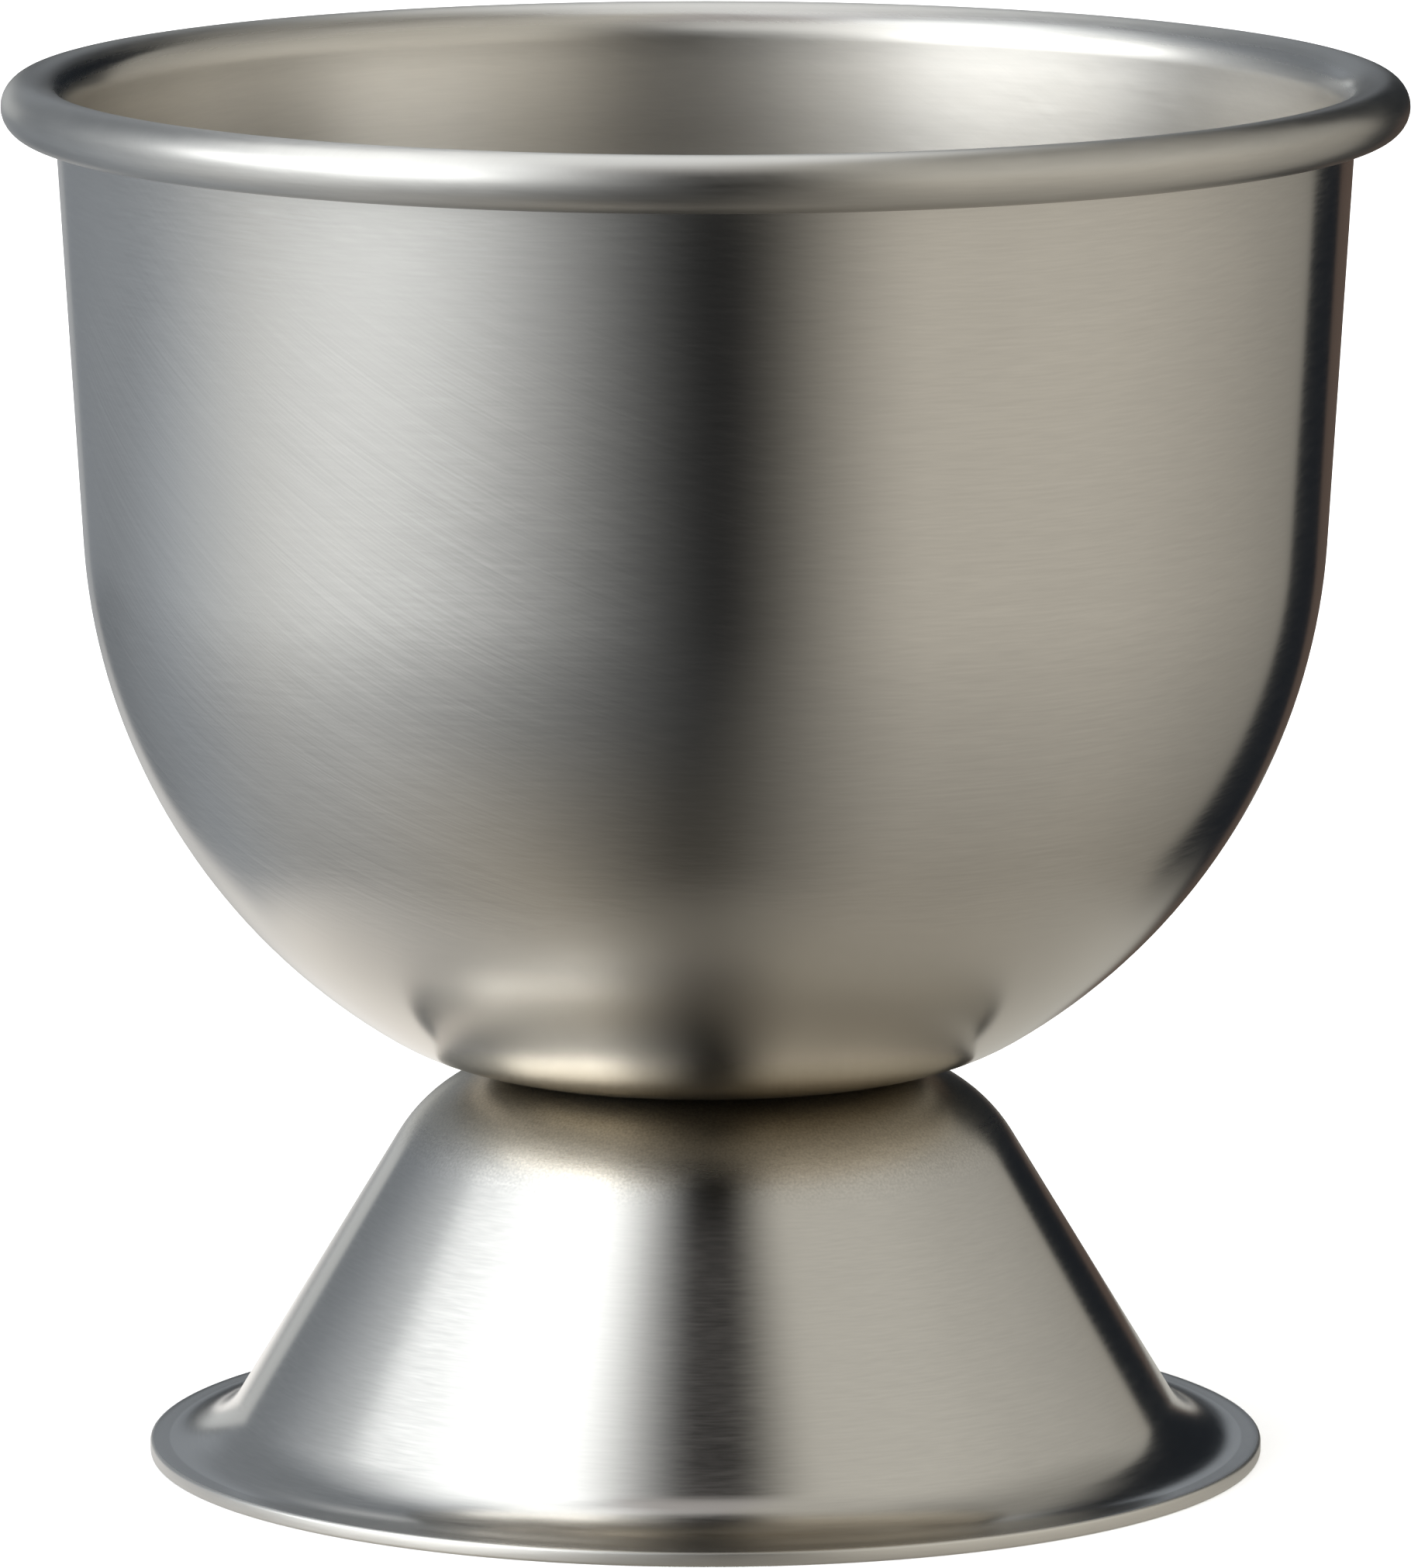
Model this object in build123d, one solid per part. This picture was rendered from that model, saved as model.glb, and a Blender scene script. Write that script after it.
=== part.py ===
from build123d import *
from math import acos, atan2, cos, degrees, hypot, radians, sin, sqrt
import os

# An egg cup of thin stainless sheet: a drawn bowl with a rolled rim, spot welded onto a pressed, hollow foot.
# The origin is on the table, on the cup's axis, and +Z points up.
# Sizes are in millimetres and degrees. A bend's radius is measured on its hollow side.

# Bowl
rim_diameter = 50.0       # across the outside of the rolled rim
bowl_height = 35.55       # from the land to the top of the rim
bowl_sheet = 0.5          # thickness of the bowl's sheet
wall_taper = 3.5          # lean of the wall from the vertical, wider at the mouth
lip_bend = 0.9            # from the wall outwards to the top of the rim
bead_bend = 0.5           # the rolled edge, past the top of the rim
bead_gap = 0.12           # between the end of the rolled edge and the wall
knuckle_bend = 8.5        # between the belly and the land
land_radius = 6.9         # flat land under the bowl

# Foot
flange_diameter = 40.0    # across the flat ring at the base
foot_height = 14.15       # from the table to the flat top
foot_sheet = 0.5          # thickness of the foot's sheet
flange_width = 0.7        # flat ring outside the flare
flare_bend = 2.9          # between the cone and the flat ring
shoulder_bend = 5.2       # between the flat top and the cone
top_radius = 6.2          # flat top of the foot
edge_round = 0.1          # both corners of the sheared edge

# Spot welds
weld_count = 3
nugget_diameter = 3.0
nugget_depth = 0.3        # how far a nugget reaches into each sheet
weld_margin = 1.1         # from a nugget to the edge of the flats that it joins

# Places worked out from the sizes
rim_radius = rim_diameter / 2
flange_radius = flange_diameter / 2
rim_height = foot_height + bowl_height
bead_radius = bead_bend + bowl_sheet
lip_radius = lip_bend + bowl_sheet
bead_center = (rim_radius - bead_radius, rim_height - bead_radius)
lip_center = (bead_center[0], rim_height - lip_radius)


def skin(bends, sheet, left, edge_radius=None):
    """One side of a bent sheet, from the axis to its free edge: straight runs joined by arcs.

    A bend is its centre, its radius on the hollow side, its start angle and its turn. The left side is the
    one on the left on the way from the axis, and is the hollow side of a bend that turns left.
    """
    arcs = []
    for center, bend, start, turn in bends:
        hollow = (turn > 0) == left
        radius = bend if hollow else bend + sheet
        arcs.append(CenterArc(center, radius, start, turn))
    first = arcs[0] @ 0
    last = arcs[-1] @ 1
    runs = [Line((0, first.Y), first)]
    for arc, following in zip(arcs, arcs[1:]):
        if (following @ 0 - arc @ 1).length > bead_gap / 100:
            runs.append(Line(arc @ 1, following @ 0))
    if edge_radius:
        runs.append(Line(last, (edge_radius, last.Y)))
        last = Vector(edge_radius, last.Y)
    return runs + arcs, Vector(0, first.Y), last


def spun_sheet(bends, sheet, edge_radius=None):
    """A sheet of even thickness, bent along one profile and turned about the Z axis."""
    left_edges, left_axis, left_end = skin(bends, sheet, True, edge_radius)
    right_edges, right_axis, right_end = skin(bends, sheet, False, edge_radius)
    ends = [Line(left_axis, right_axis), Line(left_end, right_end)]
    section = make_face(left_edges + right_edges + ends)
    return revolve(Plane.XZ * section, Axis.Z)


def make_bowl():
    """Flat land, knuckle, ball-shaped belly, tapered wall, lip and rolled bead."""
    lean = radians(wall_taper)

    # The belly is a ball on the axis, tangent to the wall's outer face and to the knuckle.
    # Its outer radius grows evenly with the height of its centre, because the wall leans.
    knuckle_center = (land_radius, foot_height + knuckle_bend + bowl_sheet)
    reach_at_table = lip_center[0] * cos(lean) - lip_center[1] * sin(lean) - lip_bend - knuckle_bend - bowl_sheet
    reach_at_knuckle = reach_at_table + knuckle_center[1] * sin(lean)
    half_sum = reach_at_knuckle * sin(lean) / cos(lean) ** 2
    spread = sqrt(half_sum ** 2 + (reach_at_knuckle ** 2 - land_radius ** 2) / cos(lean) ** 2)
    belly_rise = half_sum + spread
    belly_center = (0, knuckle_center[1] + belly_rise)
    belly_bend = reach_at_knuckle + belly_rise * sin(lean) + knuckle_bend
    knuckle_turn = degrees(atan2(land_radius, belly_rise))

    # The rolled edge stops where the gap to the wall's outer face is left, or where it faces the wall.
    to_wall = (lip_radius - bead_radius) * sin(lean) - lip_bend + bead_gap
    bead_end = -degrees(acos(max(to_wall / bead_radius, -1))) - wall_taper

    bends = [
        (knuckle_center, knuckle_bend, 270, knuckle_turn),
        (belly_center, belly_bend, 270 + knuckle_turn, 90 - knuckle_turn - wall_taper),
        (lip_center, lip_bend, 180 - wall_taper, wall_taper - 90),
        (bead_center, bead_bend, 90, bead_end - 90),
    ]
    return spun_sheet(bends, bowl_sheet)


def make_foot():
    """Flat top, shoulder, straight cone, flare and flat ring with a rounded sheared edge."""
    shoulder_center = (top_radius, foot_height - foot_sheet - shoulder_bend)
    flare_center = (flange_radius - flange_width, foot_sheet + flare_bend)

    # The cone is the straight line that touches the shoulder's outside and the flare's hollow side.
    across = flare_center[0] - shoulder_center[0]
    along = flare_center[1] - shoulder_center[1]
    radii = shoulder_bend + foot_sheet + flare_bend
    cone_angle = degrees(acos(radii / hypot(across, along)) + atan2(along, across))

    bends = [
        (shoulder_center, shoulder_bend, 90, cone_angle - 90),
        (flare_center, flare_bend, 180 + cone_angle, 90 - cone_angle),
    ]
    foot = spun_sheet(bends, foot_sheet, flange_radius)
    rims = foot.edges().filter_by(GeomType.CIRCLE).sort_by(lambda edge: edge.radius)[-2:]
    return fillet(rims, min(edge_round, foot_sheet / 3))


def make_spot_welds():
    """Lens-shaped nuggets, half in the bowl's land and half in the foot's top."""
    nugget_radius = nugget_diameter / 2
    ball_radius = (nugget_radius ** 2 + nugget_depth ** 2) / (2 * nugget_depth)
    ball_offset = ball_radius - nugget_depth
    nugget = (Pos(0, 0, ball_offset) * Sphere(ball_radius)) & (Pos(0, 0, -ball_offset) * Sphere(ball_radius))
    weld_circle = min(land_radius, top_radius) - weld_margin - nugget_radius
    places = Pos(0, 0, foot_height) * PolarLocations(weld_circle, weld_count)
    return [place * nugget for place in places]


spot_welds = make_spot_welds()
bowl = make_bowl() - spot_welds
foot = make_foot() - spot_welds

os.makedirs("parts", exist_ok=True)
export_step(bowl, "parts/bowl.step")
export_step(foot, "parts/foot.step")
export_step(Compound(spot_welds), "parts/spot_welds.step")
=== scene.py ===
import bpy
from math import acos, atan2, cos, degrees, hypot, pi, radians, sin, sqrt, tan
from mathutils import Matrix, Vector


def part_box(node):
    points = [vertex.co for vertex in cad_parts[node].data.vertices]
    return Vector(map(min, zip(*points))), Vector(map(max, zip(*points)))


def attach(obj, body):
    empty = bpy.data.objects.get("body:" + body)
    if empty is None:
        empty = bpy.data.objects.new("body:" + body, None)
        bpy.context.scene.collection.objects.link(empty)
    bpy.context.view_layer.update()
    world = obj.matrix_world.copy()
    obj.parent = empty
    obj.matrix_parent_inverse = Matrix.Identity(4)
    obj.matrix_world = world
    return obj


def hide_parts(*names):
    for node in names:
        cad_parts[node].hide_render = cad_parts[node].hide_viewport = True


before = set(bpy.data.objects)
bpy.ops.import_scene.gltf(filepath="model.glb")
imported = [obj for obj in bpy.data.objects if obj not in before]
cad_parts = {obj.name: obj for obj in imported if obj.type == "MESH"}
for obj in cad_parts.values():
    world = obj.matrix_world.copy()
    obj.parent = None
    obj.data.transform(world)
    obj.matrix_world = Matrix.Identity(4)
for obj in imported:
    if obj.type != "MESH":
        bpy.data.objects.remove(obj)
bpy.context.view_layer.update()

# Sizes, in metres and degrees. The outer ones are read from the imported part.
MM = 0.001
RIM_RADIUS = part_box("bowl")[1][0]
RIM_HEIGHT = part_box("bowl")[1][2]
SEAT_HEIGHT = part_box("bowl")[0][2]
FLANGE_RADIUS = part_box("foot")[1][0]
SHEET = 0.5 * MM

# Bowl, with each bend measured on its hollow side
WALL_TAPER = 3.5
LIP_BEND = 0.9 * MM
BEAD_BEND = 0.5 * MM
BEAD_GAP = 0.12 * MM
KNUCKLE_BEND = 8.5 * MM
LAND_RADIUS = 6.9 * MM

# Foot
FLANGE_WIDTH = 0.7 * MM
FLARE_BEND = 2.9 * MM
SHOULDER_BEND = 5.2 * MM
TOP_RADIUS = 6.2 * MM
EDGE_ROUND = 0.1 * MM
SHARP_ANGLE = 60

# Marks of the spot welds on the bare sides of both sheets
WELD_COUNT = 3
WELD_CIRCLE = 3.6 * MM
WELD_MARK_RADIUS = 1.9 * MM
WELD_MARK_DEPTH = 0.05 * MM

# Divisions of the turned meshes
STEPS_AROUND = 192
WELD_RINGS = 12
LAND_RINGS = 8
KNUCKLE_RINGS = 10
BELLY_RINGS = 36
WALL_RINGS = 12
LIP_RINGS = 14
BEAD_RINGS = 36
SHOULDER_RINGS = 16
CONE_RINGS = 12
FLARE_RINGS = 16
FLANGE_RINGS = 2
EDGE_RINGS = 3
DOUBLES = 0.001 * MM

# Places worked out from the sizes, as radius and height
LEAN = radians(WALL_TAPER)
BEAD_RADIUS = BEAD_BEND + SHEET
LIP_RADIUS = LIP_BEND + SHEET
KNUCKLE_RADIUS = KNUCKLE_BEND + SHEET
BEAD_CENTER = (RIM_RADIUS - BEAD_RADIUS, RIM_HEIGHT - BEAD_RADIUS)
LIP_CENTER = (BEAD_CENTER[0], RIM_HEIGHT - LIP_RADIUS)
KNUCKLE_CENTER = (LAND_RADIUS, SEAT_HEIGHT + KNUCKLE_RADIUS)


def fit_belly():
    """Height and radius of the belly's ball, which touches the wall's outer face and the knuckle."""
    to_wall = LIP_CENTER[0] * cos(LEAN) + (KNUCKLE_CENTER[1] - LIP_CENTER[1]) * sin(LEAN) - LIP_BEND
    reach = to_wall - KNUCKLE_RADIUS
    half_sum = reach * sin(LEAN) / cos(LEAN) ** 2
    rise = half_sum + sqrt(half_sum ** 2 + (reach ** 2 - LAND_RADIUS ** 2) / cos(LEAN) ** 2)
    return KNUCKLE_CENTER[1] + rise, to_wall + rise * sin(LEAN)


BELLY_HEIGHT, BELLY_RADIUS = fit_belly()


# Drawing and turning a sheet

def draw_profile(runs_and_bends):
    """Draws one skin of a sheet in the XZ plane, as a chain of straight runs and round bends.

    The chain opens with ("start", point). A run is ("run", point, steps), and a bend is
    ("bend", centre, radius, start angle, turn, steps).
    """
    bpy.ops.object.select_all(action="DESELECT")
    bpy.ops.mesh.primitive_plane_add(size=MM, location=(0, 0, 0))
    bpy.ops.object.mode_set(mode="EDIT")
    bpy.ops.mesh.select_all(action="SELECT")
    bpy.ops.mesh.merge(type="CENTER")
    first = runs_and_bends[0][1]
    bpy.ops.transform.translate(value=(first[0], 0, first[1]))
    pen = first
    for kind, *sizes in runs_and_bends[1:]:
        if kind == "run":
            point, steps = sizes
            extrude_run(pen, point, steps)
            pen = point
        else:
            center, radius, start, turn, steps = sizes
            entry = on_circle(center, radius, start)
            if hypot(entry[0] - pen[0], entry[1] - pen[1]) > DOUBLES:
                extrude_run(pen, entry, 1)
            bpy.ops.mesh.spin(steps=steps, angle=radians(abs(turn)), center=(center[0], 0, center[1]),
                              axis=(0, 1 if turn > 0 else -1, 0))
            pen = on_circle(center, radius, start + turn)
    return bpy.context.object


def on_circle(center, radius, angle):
    """The point of a circle at an angle, as radius and height."""
    return (center[0] + radius * cos(radians(angle)), center[1] + radius * sin(radians(angle)))


def extrude_run(start, end, steps):
    """Extrudes the selected point along a straight run, in even steps."""
    step = ((end[0] - start[0]) / steps, 0, (end[1] - start[1]) / steps)
    for _ in range(steps):
        bpy.ops.mesh.extrude_vertices_move(TRANSFORM_OT_translate={"value": step})


def turn_sheet(piece, name):
    """Turns the drawn skin about the Z axis, faces it outwards and gives it the sheet's thickness."""
    bpy.ops.mesh.select_all(action="SELECT")
    bpy.ops.mesh.spin(steps=STEPS_AROUND, angle=2 * pi, center=(0, 0, 0), axis=(0, 0, 1))
    bpy.ops.mesh.select_all(action="SELECT")
    bpy.ops.mesh.remove_doubles(threshold=DOUBLES)
    bpy.ops.mesh.normals_make_consistent(inside=False)
    bpy.ops.object.mode_set(mode="OBJECT")
    faces = piece.data.polygons
    outward = sum(face.normal.x * face.center.x + face.normal.y * face.center.y for face in faces)
    if outward < 0:
        bpy.ops.object.mode_set(mode="EDIT")
        bpy.ops.mesh.flip_normals()
        bpy.ops.object.mode_set(mode="OBJECT")
    piece.name = name
    piece.data.name = name
    thickness = piece.modifiers.new("sheet", "SOLIDIFY")
    thickness.thickness = SHEET
    thickness.offset = -1
    bpy.ops.object.modifier_apply(modifier="sheet")
    edges = piece.modifiers.new("edges", "BEVEL")
    edges.width = EDGE_ROUND
    edges.segments = EDGE_RINGS
    edges.limit_method = "ANGLE"
    edges.angle_limit = radians(SHARP_ANGLE)
    bpy.ops.object.modifier_apply(modifier="edges")
    bpy.ops.object.shade_smooth()


def press_weld_marks(piece, height, push):
    """Presses a shallow round mark at each weld into the flat at that height."""
    bpy.ops.object.mode_set(mode="EDIT")
    bpy.ops.mesh.select_all(action="DESELECT")
    bpy.ops.object.mode_set(mode="OBJECT")
    for index in range(WELD_COUNT):
        angle = 2 * pi * index / WELD_COUNT
        place = (WELD_CIRCLE * cos(angle), WELD_CIRCLE * sin(angle), height)
        nearest = min(piece.data.vertices,
                      key=lambda point: sum((a - b) ** 2 for a, b in zip(point.co, place)))
        nearest.select = True
    bpy.ops.object.mode_set(mode="EDIT")
    bpy.ops.transform.translate(
        value=(0, 0, push), use_proportional_edit=True, use_proportional_connected=True,
        proportional_edit_falloff="SMOOTH", proportional_size=WELD_MARK_RADIUS)
    bpy.ops.object.mode_set(mode="OBJECT")


# The pieces

def make_bowl():
    """Flat land, knuckle, ball-shaped belly, tapered wall, lip and rolled bead."""
    belly_center = (0, BELLY_HEIGHT)
    knuckle_turn = degrees(atan2(LAND_RADIUS, BELLY_HEIGHT - KNUCKLE_CENTER[1]))

    # The rolled edge stops short of the wall's outer face.
    to_wall = (LIP_RADIUS - BEAD_RADIUS) * sin(LEAN) - LIP_BEND + BEAD_GAP
    bead_end = -degrees(acos(max(to_wall / BEAD_RADIUS, -1))) - WALL_TAPER

    bowl = draw_profile([
        ("start", (0, SEAT_HEIGHT)),
        ("run", (WELD_CIRCLE, SEAT_HEIGHT), WELD_RINGS),
        ("run", (LAND_RADIUS, SEAT_HEIGHT), LAND_RINGS),
        ("bend", KNUCKLE_CENTER, KNUCKLE_RADIUS, 270, knuckle_turn, KNUCKLE_RINGS),
        ("bend", belly_center, BELLY_RADIUS, 270 + knuckle_turn, 90 - knuckle_turn - WALL_TAPER, BELLY_RINGS),
        ("run", on_circle(LIP_CENTER, LIP_BEND, 180 - WALL_TAPER), WALL_RINGS),
        ("bend", LIP_CENTER, LIP_BEND, 180 - WALL_TAPER, WALL_TAPER - 90, LIP_RINGS),
        ("bend", BEAD_CENTER, BEAD_BEND, 90, bead_end - 90, BEAD_RINGS),
    ])
    turn_sheet(bowl, "bowl_pressing")
    press_weld_marks(bowl, SEAT_HEIGHT + SHEET, -WELD_MARK_DEPTH)
    return bowl


def make_foot():
    """Flat top, shoulder, straight cone, flare and flat ring with a sheared edge."""
    shoulder_radius = SHOULDER_BEND + SHEET
    shoulder_center = (TOP_RADIUS, SEAT_HEIGHT - shoulder_radius)
    flare_center = (FLANGE_RADIUS - FLANGE_WIDTH, SHEET + FLARE_BEND)

    # The cone is the straight line that touches the shoulder and the flare.
    across = flare_center[0] - shoulder_center[0]
    along = flare_center[1] - shoulder_center[1]
    cone_angle = degrees(acos((shoulder_radius + FLARE_BEND) / hypot(across, along)) + atan2(along, across))

    foot = draw_profile([
        ("start", (0, SEAT_HEIGHT)),
        ("run", (WELD_CIRCLE, SEAT_HEIGHT), WELD_RINGS),
        ("run", (TOP_RADIUS, SEAT_HEIGHT), LAND_RINGS),
        ("bend", shoulder_center, shoulder_radius, 90, cone_angle - 90, SHOULDER_RINGS),
        ("run", on_circle(flare_center, FLARE_BEND, 180 + cone_angle), CONE_RINGS),
        ("bend", flare_center, FLARE_BEND, 180 + cone_angle, 90 - cone_angle, FLARE_RINGS),
        ("run", (FLANGE_RADIUS, SHEET), FLANGE_RINGS),
    ])
    turn_sheet(foot, "foot_pressing")
    press_weld_marks(foot, SEAT_HEIGHT - SHEET, WELD_MARK_DEPTH)
    return foot


# Shader maths

class Wire:
    """A shader socket. Sums with other sockets or numbers add Math nodes."""

    def __init__(self, tree, socket):
        self.tree = tree
        self.socket = socket

    def math(self, operation, *values):
        return add_node(self.tree, "ShaderNodeMath", {"operation": operation}, dict(enumerate(values)))

    def __add__(self, other):
        return self.math("ADD", self, other)

    def __radd__(self, other):
        return self.math("ADD", other, self)

    def __sub__(self, other):
        return self.math("SUBTRACT", self, other)

    def __rsub__(self, other):
        return self.math("SUBTRACT", other, self)

    def __neg__(self):
        return self.math("SUBTRACT", 0, self)

    def __mul__(self, other):
        return self.math("MULTIPLY", self, other)

    def __rmul__(self, other):
        return self.math("MULTIPLY", other, self)

    def __truediv__(self, other):
        return self.math("DIVIDE", self, other)

    def __pow__(self, other):
        return self.math("POWER", self, other)

    def at_least(self, other):
        return self.math("MAXIMUM", self, other)

    def at_most(self, other):
        return self.math("MINIMUM", self, other)


def add_node(tree, kind, settings=None, inputs=None, output=0):
    """Adds a node, sets its settings first, feeds its sockets and returns one of its outputs."""
    node = tree.nodes.new(kind)
    for name, value in (settings or {}).items():
        setattr(node, name, value)
    for name, value in (inputs or {}).items():
        if isinstance(value, Wire):
            tree.links.new(value.socket, node.inputs[name])
        else:
            node.inputs[name].default_value = value
    return Wire(tree, node.outputs[output])


def add_vector_math(tree, operation, inputs):
    """A node that works on whole vectors or colours."""
    return add_node(tree, "ShaderNodeVectorMath", {"operation": operation}, inputs)


def axes(tree, vector):
    """The three coordinates of a vector."""
    first = add_node(tree, "ShaderNodeSeparateXYZ", {}, {0: vector})
    return [Wire(tree, output) for output in first.socket.node.outputs]


def place_on(tree):
    """The place on an object, in millimetres."""
    place = add_node(tree, "ShaderNodeTexCoord", output="Object")
    return add_vector_math(tree, "SCALE", {0: place, "Scale": 1 / MM})


def fade(value, low, high):
    """0 below low and 1 above high, smooth between."""
    return add_node(value.tree, "ShaderNodeMapRange", {"interpolation_type": "SMOOTHSTEP"},
                    {"Value": value, "From Min": low, "From Max": high})


def band(value, start, end):
    """1 between two soft edges, each given as the values where it begins and where it ends."""
    return fade(value, *start) * (1 - fade(value, *end))


def mix(tree, factor, first, second):
    """A blend of two colours."""
    return add_node(tree, "ShaderNodeMix", {"data_type": "RGBA"}, {0: factor, 6: first, 7: second}, output=2)


def tinted(tree, parts):
    """The sum of tints, each as strong as its own value."""
    total = None
    for strength, tint in parts:
        part = add_vector_math(tree, "SCALE", {0: tint, "Scale": strength})
        total = part if total is None else add_vector_math(tree, "ADD", {0: total, 1: part})
    return total


def noise(tree, vector, scale, detail=2):
    """Soft grey noise around 0."""
    inputs = {"Vector": vector, "Scale": scale, "Detail": detail}
    return add_node(tree, "ShaderNodeTexNoise", {}, inputs) - 0.5


# Steel, with places in millimetres

ROUGHNESS = 0.175
BRUSH_STRETCH = 0.75
QUARTER_TURN = 0.25
STEEL = (0.62, 0.605, 0.58)
HEAT_BROWN = (0.62, 0.575, 0.505)
JOINT_BROWN = (0.6, 0.545, 0.45)

# Length and width of the brush lines and scratches
FINE_LINE = (1.8, 0.12)
COARSE_LINE = (6, 0.3)
SCRATCH = (6, 0.08)

# How many clouds and grains there are on a millimetre
CLOUDS = 0.16
GRAINS = 12

# Where the sheet's inner face is told from the outer one, as depths under the outer face
SKIN_START = 0.15
SKIN_END = 0.35

# Radii between which the knuckle gives way to the belly
KNUCKLE_END = (11.4, 11.6)


class Steel:
    """A satin steel material, with the places and the brush lines that its marks are made from."""

    def __init__(self, name, slope):
        self.material = bpy.data.materials.new(name)
        self.material.use_nodes = True
        self.tree = self.material.node_tree
        self.shader = self.tree.nodes["Principled BSDF"]
        self.shader.inputs["Metallic"].default_value = 1
        self.shader.inputs["Anisotropic"].default_value = BRUSH_STRETCH
        self.shader.inputs["Anisotropic Rotation"].default_value = QUARTER_TURN
        self.place = place_on(self.tree)
        self.x, self.y, self.z = axes(self.tree, self.place)
        self.radius = (self.x * self.x + self.y * self.y + 0.001) ** 0.5
        self.along = self.radius + self.z * slope
        fine = self.lines(self.along, *FINE_LINE)
        coarse = self.lines(self.along, *COARSE_LINE)
        self.cloud = noise(self.tree, self.place, CLOUDS, 3)
        self.tone = fine * 0.13 + coarse * 0.05 + self.cloud * 0.08 + 1
        self.rough = fine * 0.08 + coarse * 0.03 + self.cloud * 0.025 + ROUGHNESS

    def lines(self, along, length, width):
        """Noise drawn out around the axis: lines of one length and width, around 0."""
        stretch = RIM_RADIUS / MM / length
        vector = add_node(self.tree, "ShaderNodeCombineXYZ", {}, {
            0: self.x / self.radius * stretch, 1: self.y / self.radius * stretch, 2: along / width})
        return noise(self.tree, vector, 1)

    def finish(self, brown, brown_color):
        """Feeds the shader, with a brown stain where it has one."""
        color = mix(self.tree, brown, (*STEEL, 1), (*brown_color, 1))
        color = add_vector_math(self.tree, "SCALE", {0: color, "Scale": self.tone})
        self.tree.links.new(color.socket, self.shader.inputs["Base Color"])
        self.tree.links.new(self.rough.socket, self.shader.inputs["Roughness"])
        return self.material


def inside_of_bowl(steel):
    """1 on the inner face of the bowl's sheet and 0 on its outer face.

    The belly's ball and the wall above it tell the two apart, and below them the bend of the knuckle does.
    """
    belly_height = BELLY_HEIGHT / MM
    belly_radius = BELLY_RADIUS / MM
    knuckle_bend = KNUCKLE_BEND / MM
    below = (steel.z - belly_height).at_most(0)
    above = (steel.z - belly_height).at_least(0)
    depth = (steel.radius * steel.radius + below * below) ** 0.5 - above * tan(LEAN)
    outside = fade(depth, belly_radius - SKIN_END, belly_radius - SKIN_START)
    past_land = (steel.radius - LAND_RADIUS / MM).at_least(0)
    rise = steel.z - KNUCKLE_CENTER[1] / MM
    knuckle_depth = (past_land * past_land + rise * rise) ** 0.5
    knuckle = fade(knuckle_depth, knuckle_bend + SKIN_START, knuckle_bend + SKIN_END)
    knuckle = knuckle * (1 - fade(steel.radius, *KNUCKLE_END))
    return 1 - outside.at_least(knuckle)


def make_bowl_steel():
    """Lines around the axis, scratches on one side, a duller inside and rim, a stain near the joint, and
    painted highlight, reflection and shade on the inner face and lower belly.
    """
    steel = Steel("bowl_steel", 1)
    x, y, z = steel.x, steel.y, steel.z

    # Slanting scratches, strongest on the left and below the rim
    tilted = steel.along + x * 0.35 - y * 0.6
    scratch = steel.lines(tilted, *SCRATCH)
    left = fade(-x, -4, 16) * (1 - fade(z, 40, 46))
    steel.tone = steel.tone + scratch * (left * 0.24 + 0.06)
    steel.rough = steel.rough + scratch * (left * 0.04 + 0.06)

    # The bead, the inner face and the lower belly have fainter lines and are duller.
    inside = inside_of_bowl(steel)
    outside = 1 - inside
    bead = fade(steel.radius, 22.9, 23.3)
    haze = outside * band(z, (17.2, 20), (21.5, 24.5))
    low = outside * (1 - fade(z, 19, 24))
    quiet = 1 - inside * 0.2 - low * 0.8

    # Painted highlight: paler just below the lip on the inner face, with painted shade a little darker lower
    # on the inner face
    painted_lip_highlight = inside * (1 - fade(z, 47.4, 48.4)) * (fade(z, 44.5, 47.2) * 0.25 - 0.06)
    # Painted reflection: a pale patch low on the front left of the belly, where the foot is mirrored
    painted_reflection = outside * band(z, (16.6, 18.2), (19.2, 20.6)) * fade(-y, 0, 8) * band(-x, (0, 4), (7, 11))
    # Painted shade: darker on the left flank of the lower belly
    painted_flank_shade = low * fade(-x, 8, 13)
    # The haze and the bead's darker tone, summed with the painted highlight, reflection and shade
    marks_and_painted_light = painted_lip_highlight + haze * 0.05 + painted_reflection * 0.38 - painted_flank_shade * 0.16 - bead * 0.12
    steel.tone = (steel.tone - 1) * quiet + 1 + marks_and_painted_light
    dull = inside * 0.13 + bead * 0.16 + haze * 0.07
    steel.rough = (steel.rough - ROUGHNESS) * quiet + ROUGHNESS + dull

    brown = 1 - fade(z, 14, 29) + inside * 0.25 + steel.cloud * 0.25
    return steel.finish(brown, HEAT_BROWN)


def make_foot_steel():
    """Lines around the axis, a dull ring and a matte sheared edge, darker and browner near the joint."""
    steel = Steel("foot_steel", -1)
    ring = fade(steel.radius, 19.25, 19.35)
    edge = fade(steel.radius, 19.86, 19.92)
    grain = noise(steel.tree, steel.place, GRAINS, 0) * fade(steel.z, 10.5, 12)
    # Darker and browner towards the top of the foot, by the joint
    darker_top = fade(steel.z, 12.4, 13.9)
    steel.tone = steel.tone - ring * 0.12 + edge * 0.35 - darker_top * 0.4 + grain * 0.4
    steel.rough = steel.rough + ring * 0.05 + edge * 0.18 + fade(steel.z, 10.5, 13) * 0.13
    return steel.finish(fade(steel.z, 11, 13.6), JOINT_BROWN)


def make_weld_steel():
    """Bare fused metal."""
    steel = Steel("weld_steel", 1)
    steel.rough = steel.rough + 0.15
    return steel.finish(fade(steel.z, 0, 1) * 0.6, JOINT_BROWN)


# Studio

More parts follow.
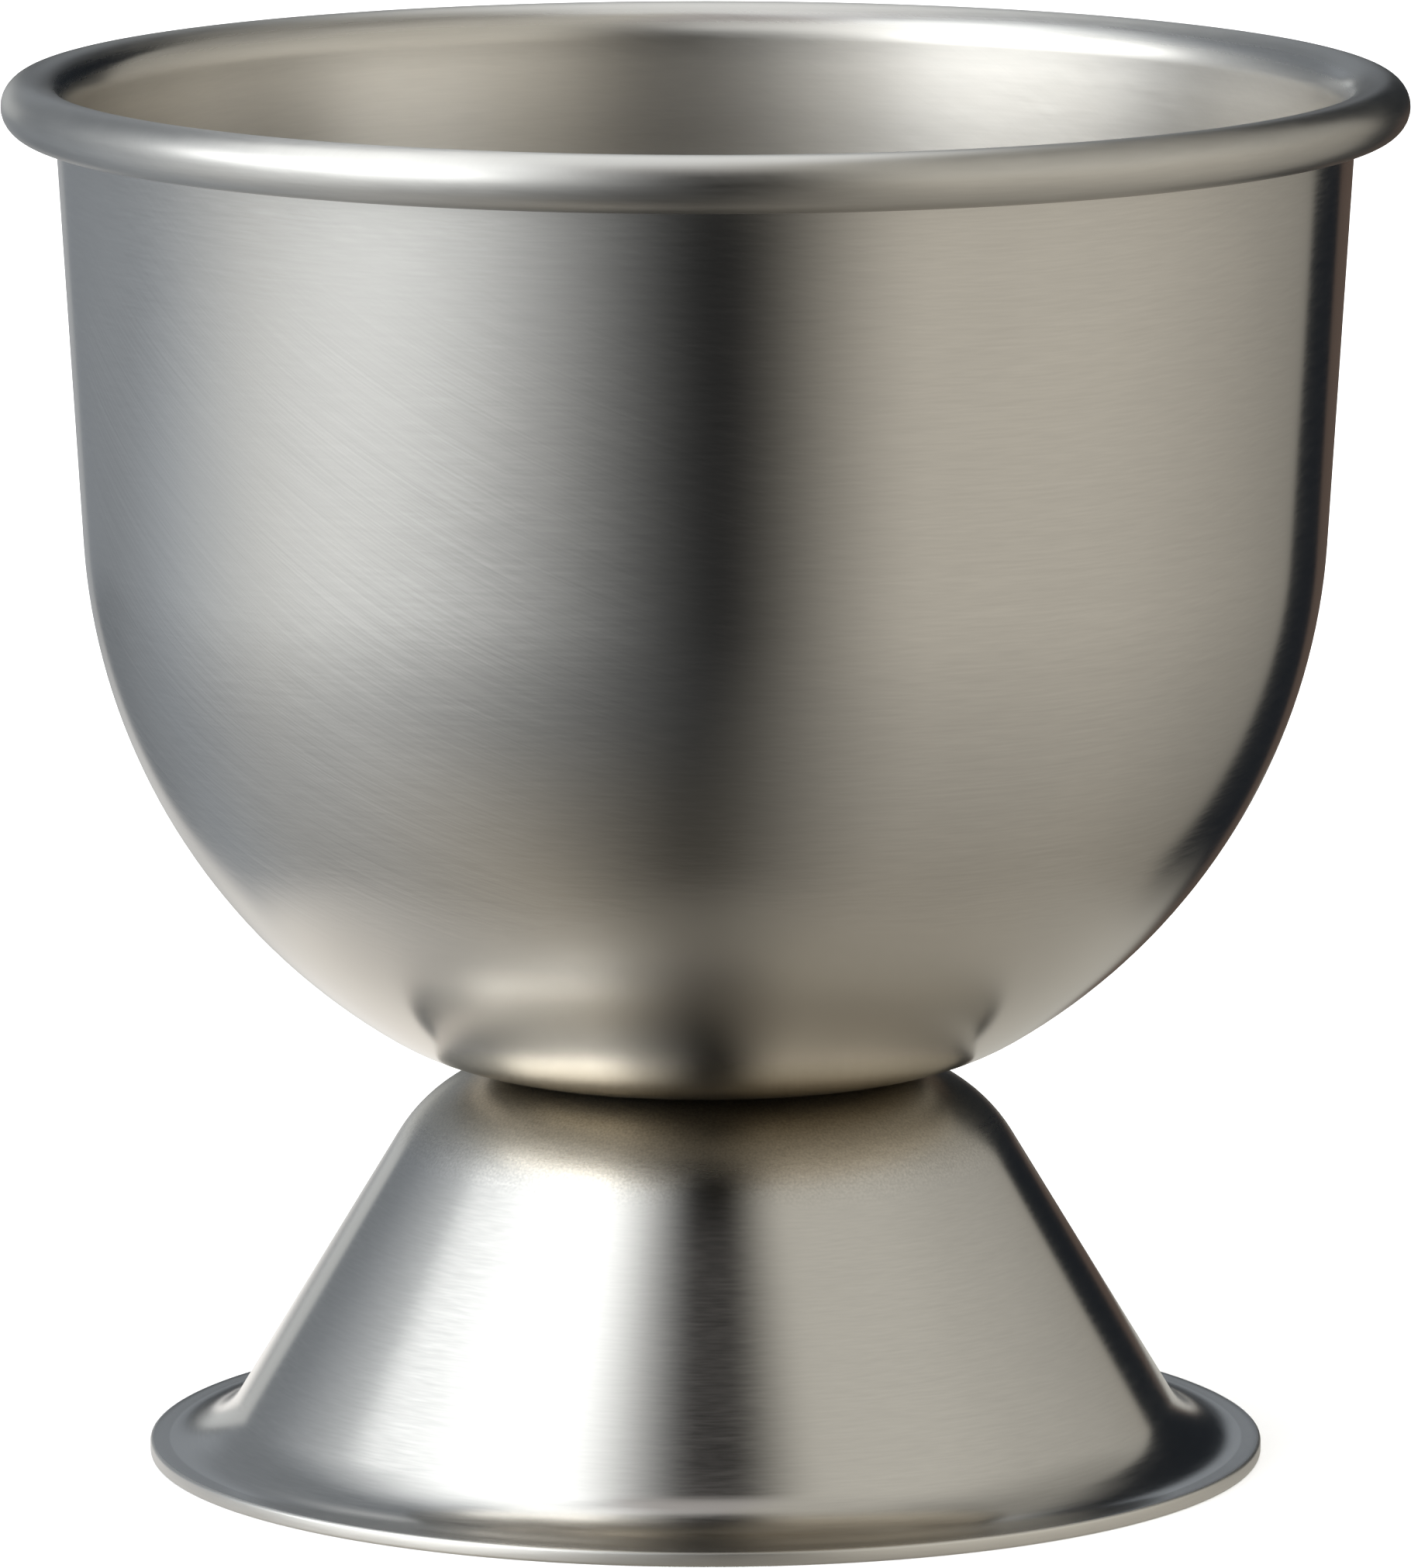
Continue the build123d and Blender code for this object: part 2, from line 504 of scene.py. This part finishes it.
# Colours of the lights, and of what the steel mirrors
LEFT_TINT = (0.98, 1.005, 1.01)
BACK_TINT = (0.93, 1.01, 1.1)
RIGHT_TINT = (1.03, 1.0, 0.905)
WARM_TINT = (1.045, 0.985, 0.86)
CEILING = (0.52, 0.5, 0.49)
PANEL = (1.42, 1.45, 1.45, 1)
STRIP = (0.62, 0.64, 0.64, 1)
PALE_LEFT = (1.08, 1.06, 1.03, 1)
PALE_RIGHT = (0.52, 0.51, 0.47, 1)
BLACK = (0.014, 0.017, 0.021, 1)
BROWN = (0.105, 0.077, 0.063, 1)
CORE_LIGHT = 3.6
BACK_LIGHT = 0.34
DARKEST = 0.025

# Cards, and the distances in millimetres over which the mirrored table brightens
TOP_CARD_RADIUS = 90 * MM
TOP_CARD_HEIGHT = 80 * MM
TABLE_RADIUS = 600 * MM
TABLE_HEIGHT = -0.2 * MM
TABLE_NEAR = 30
TABLE_FAR = 190
CARD_CORNERS = 96

# Floor and its light, in metres
FLOOR_SIZE = 6
FLOOR_WHITE = (0.9, 0.9, 0.9, 1)
FLOOR_ROUGHNESS = 0.8
FLOOR_LIGHT_SIZE = 2
FLOOR_LIGHT_HEIGHT = 1.5
FLOOR_LIGHT_WATTS = 45

# Camera, in metres and degrees, with its lens and sensor in millimetres
CAMERA_DISTANCE = 0.49624
CAMERA_HEIGHT = 0.10638
CAMERA_PITCH = 9.404
CAMERA_LENS = 322.9
CAMERA_SENSOR = 36


def azimuth_of(x, y):
    """Degrees around the axis: 0 in front of the cup, rising towards the right."""
    return x.math("ARCTAN2", x, -y) * (180 / pi)


def make_world():
    """A wide bright light on the left, a softer warm one on the right, a dark gap in front and a black card.

    Directions are azimuths in degrees, and heights are the z of a direction, from -1 to 1.
    """
    world = bpy.data.worlds.new("studio")
    bpy.context.scene.world = world
    world.use_nodes = True
    tree = world.node_tree
    x, y, z = axes(tree, add_node(tree, "ShaderNodeTexCoord", output="Generated"))
    azimuth = azimuth_of(x, y)
    top = fade(z, 0.8, 0.88)

    # The left light, with a bright core
    left_light = (0.8 + fade(z, -0.12, 0.25) * 0.95) * (1 - fade(z, 0.84, 0.98) * 0.7)
    left_start = fade(azimuth + fade(z, 0.55, 0.85) * 15, -139, -45)
    left_end = 1 - fade(azimuth, -49, 4 - fade(z, 0.1, 0.5) * 6)
    left_end = left_end * (1 - top + top * fade(-x, 0.2, 0.42))
    core = band(azimuth, (-108, -84), (-50, -28)) * band(z, (0.16, 0.3), (0.4, 0.52))
    left = left_light * left_start * left_end + core * CORE_LIGHT

    # The right light, warmer low down
    right_light = 0.65 + fade(z, -0.08, 0.1) * 0.17 - fade(z, 0.3, 0.6) * 0.17 - top * 0.07
    right_start = fade(azimuth, 7, 38)
    right = right_light * right_start * (1 - fade(azimuth, 65, 145) * 0.5) * (1 - fade(azimuth, 165, 172))
    warm = 1 - fade(z, 0.05, 0.35)

    # The room behind, darker low down, and the ceiling between the lights
    behind = azimuth.math("ABSOLUTE", azimuth)
    back = 1 - fade(azimuth, -60, -20) + fade(azimuth, 165, 172)
    back = back * (BACK_LIGHT - fade(behind, 125, 150) * 0.08)
    back = back * (1 + fade(behind, 155, 165) * (fade(z, 0.13, 0.19) * 1.1 - 0.8) * (1 - fade(z, 0.25, 0.35)))
    ceiling = top * (1 - left_end - right_start)
    light = tinted(tree, [(left, LEFT_TINT), (right * warm, WARM_TINT), (right * (1 - warm), RIGHT_TINT),
                          (back, BACK_TINT), (ceiling, CEILING)])

    # A bright panel high up behind, a pale strip low down behind, and the black card
    panel = fade(y, -0.05, 0.2) * (1 - fade(x, 0.1, 0.24)) * (1 - fade(-x, 0.08, 0.24)) * fade(z, 0.42, 0.64)
    light = mix(tree, panel, light, PANEL)
    strip = band(azimuth, (-176, -168), (-152, -149)) * (1 - fade(z, 0.1, 0.16))
    light = mix(tree, strip, light, STRIP)
    card = band(azimuth, (139.5, 142.5), (172, 175)) * (1 - fade(z, 0.5, 0.75))
    light = mix(tree, card, light, BLACK)
    tree.links.new(light.socket, tree.nodes["Background"].inputs["Color"])


def make_card(name, radius, height):
    """A round card that only the steel mirrors. Returns its shader and its places across and along."""
    bpy.ops.object.select_all(action="DESELECT")
    bpy.ops.mesh.primitive_circle_add(vertices=CARD_CORNERS, radius=radius, fill_type="NGON",
                                      location=(0, 0, height))
    card = bpy.context.object
    card.name = name
    card.visible_camera = False
    card.visible_diffuse = False
    card.visible_shadow = False
    material = bpy.data.materials.new(name)
    material.use_nodes = True
    tree = material.node_tree
    shader = tree.nodes["Principled BSDF"]
    shader.inputs["Base Color"].default_value = (0, 0, 0, 1)
    shader.inputs["Specular IOR Level"].default_value = 0
    shader.inputs["Emission Strength"].default_value = 1
    card.data.materials.append(material)
    x, y = axes(tree, place_on(tree))[:2]
    return shader, x, y


def make_top_card():
    """A small soft light close above the rim, brighter on the left."""
    shader, x, y = make_card("top_card", TOP_CARD_RADIUS, TOP_CARD_HEIGHT)
    tree = x.tree
    strength = 1.9 - fade(x, -24, -6) * 0.6
    across = fade(x - y * 0.5, -50, -24) * (1 - fade(x, -4, 10))
    along = band(y, (-42, -18), (-8, 8))
    tree.links.new(tinted(tree, [(strength, LEFT_TINT)]).socket, shader.inputs["Emission Color"])
    tree.links.new((across * along).socket, shader.inputs["Alpha"])


def make_table_card():
    """What the steel mirrors of the table: both lights, the dark gap, a pale patch behind and a black card.

    Directions are azimuths in degrees, and places and distances are in millimetres.
    """
    shader, x, y = make_card("table_card", TABLE_RADIUS, TABLE_HEIGHT)
    tree = x.tree
    azimuth = azimuth_of(x, y)
    distance = (x * x + y * y) ** 0.5

    # 0 at the near distance and 1 at the far one, where equal steps multiply the distance
    reach = distance.math("LOGARITHM", distance / TABLE_NEAR, TABLE_FAR / TABLE_NEAR)
    far = reach.at_least(0).at_most(1)
    drift = (reach - 1).at_least(0) * 120
    close = 1 - fade(distance, 22, 46)
    nearest = 1 - fade(distance, 20, 34)
    middle = band(distance, (40, 75), (155, 200))

    # Both lights, with the dark gap between them
    left_light = (0.04 + far ** 1.45 * 0.84) * fade(azimuth - drift, -140, -60) + BACK_LIGHT - middle * 0.08
    left_light = left_light - (1 - fade(azimuth, -165, -125)) * 0.11
    gap_start = -60 - middle * 16 + close * 25
    gap_middle = 10 + middle * 3 - far * 9 - close * 6
    left = left_light * (1 - fade(azimuth, gap_start, gap_middle)) + DARKEST
    right = (0.34 + far * 0.28) * fade(azimuth, far * 13 - 10 - nearest * 36, 40)
    right = right * (1 - fade(azimuth, 60, 150) * 0.6)
    blue = 1 - fade(azimuth, -120, -80)
    warm = fade(azimuth, -85, -25) * (1 - fade(distance, 30, 75))
    light = tinted(tree, [(left * (1 - blue - warm), LEFT_TINT), (left * blue, BACK_TINT),
                          (left * warm + right, WARM_TINT)])

    # The pale patch close behind the cup
    pale = fade(x + y * 0.3 + close * 14, -30, -22) * (1 - fade(x, 30, 37))
    pale = pale * fade(y, -8 - close * 16, 18)
    pale = pale * (1 - fade(distance, 35, 80) * 0.45 - fade(distance, 80, 200) * 0.35)
    light = mix(tree, pale, light, mix(tree, fade(x, -15, 25), PALE_LEFT, PALE_RIGHT))

    # The black card on the far right, with a brown edge
    black = fade(x, 35, 40) * fade(y - x * 1.1, -31, -23)
    low_black = band(x, (16, 22), (45, 60)) * band(y, (35, 50), (95, 120))
    brown = fade(y - x * 1.9, -14, -4)
    light = mix(tree, black.at_least(low_black), light, mix(tree, brown, BLACK, BROWN))
    tree.links.new(light.socket, shader.inputs["Emission Color"])


def make_floor():
    """A wide pale floor that the steel doesn't mirror, with a soft light of its own."""
    bpy.ops.object.select_all(action="DESELECT")
    bpy.ops.mesh.primitive_plane_add(size=FLOOR_SIZE, location=(0, 0, 0))
    floor = bpy.context.object
    floor.name = "floor"
    floor.visible_glossy = False
    material = bpy.data.materials.new("pale_floor")
    material.use_nodes = True
    shader = material.node_tree.nodes["Principled BSDF"]
    shader.inputs["Base Color"].default_value = FLOOR_WHITE
    shader.inputs["Roughness"].default_value = FLOOR_ROUGHNESS
    shader.inputs["Specular IOR Level"].default_value = 0
    floor.data.materials.append(material)

    data = bpy.data.lights.new("floor_light", "AREA")
    data.size = FLOOR_LIGHT_SIZE
    data.energy = FLOOR_LIGHT_WATTS
    light = bpy.data.objects.new("floor_light", data)
    light.location = (0, 0, FLOOR_LIGHT_HEIGHT)
    light.visible_glossy = False
    bpy.context.scene.collection.objects.link(light)


def make_camera():
    """A long lens in front of the cup, a little above it."""
    data = bpy.data.cameras.new("camera")
    camera = bpy.data.objects.new("camera", data)
    bpy.context.scene.collection.objects.link(camera)
    data.sensor_fit = "VERTICAL"
    data.sensor_height = CAMERA_SENSOR
    data.lens = CAMERA_LENS
    camera.location = (0, -CAMERA_DISTANCE, CAMERA_HEIGHT)
    camera.rotation_euler = (radians(90 - CAMERA_PITCH), 0, 0)
    bpy.context.scene.camera = camera


# Putting it together

bowl = make_bowl()
foot = make_foot()
for piece, node, slot, steel in (
        (bowl, "bowl", "bowl_steel", make_bowl_steel()), (foot, "foot", "foot_steel", make_foot_steel())):
    piece.data.materials.clear()
    piece.data.materials.append(steel)
    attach(piece, "root")
    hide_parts(node)
weld_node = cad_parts["spot_welds"]
weld_node.data.materials.clear()
weld_node.data.materials.append(make_weld_steel())
make_world()
make_table_card()
make_top_card()
make_floor()
make_camera()
bpy.context.scene.view_settings.view_transform = "Standard"
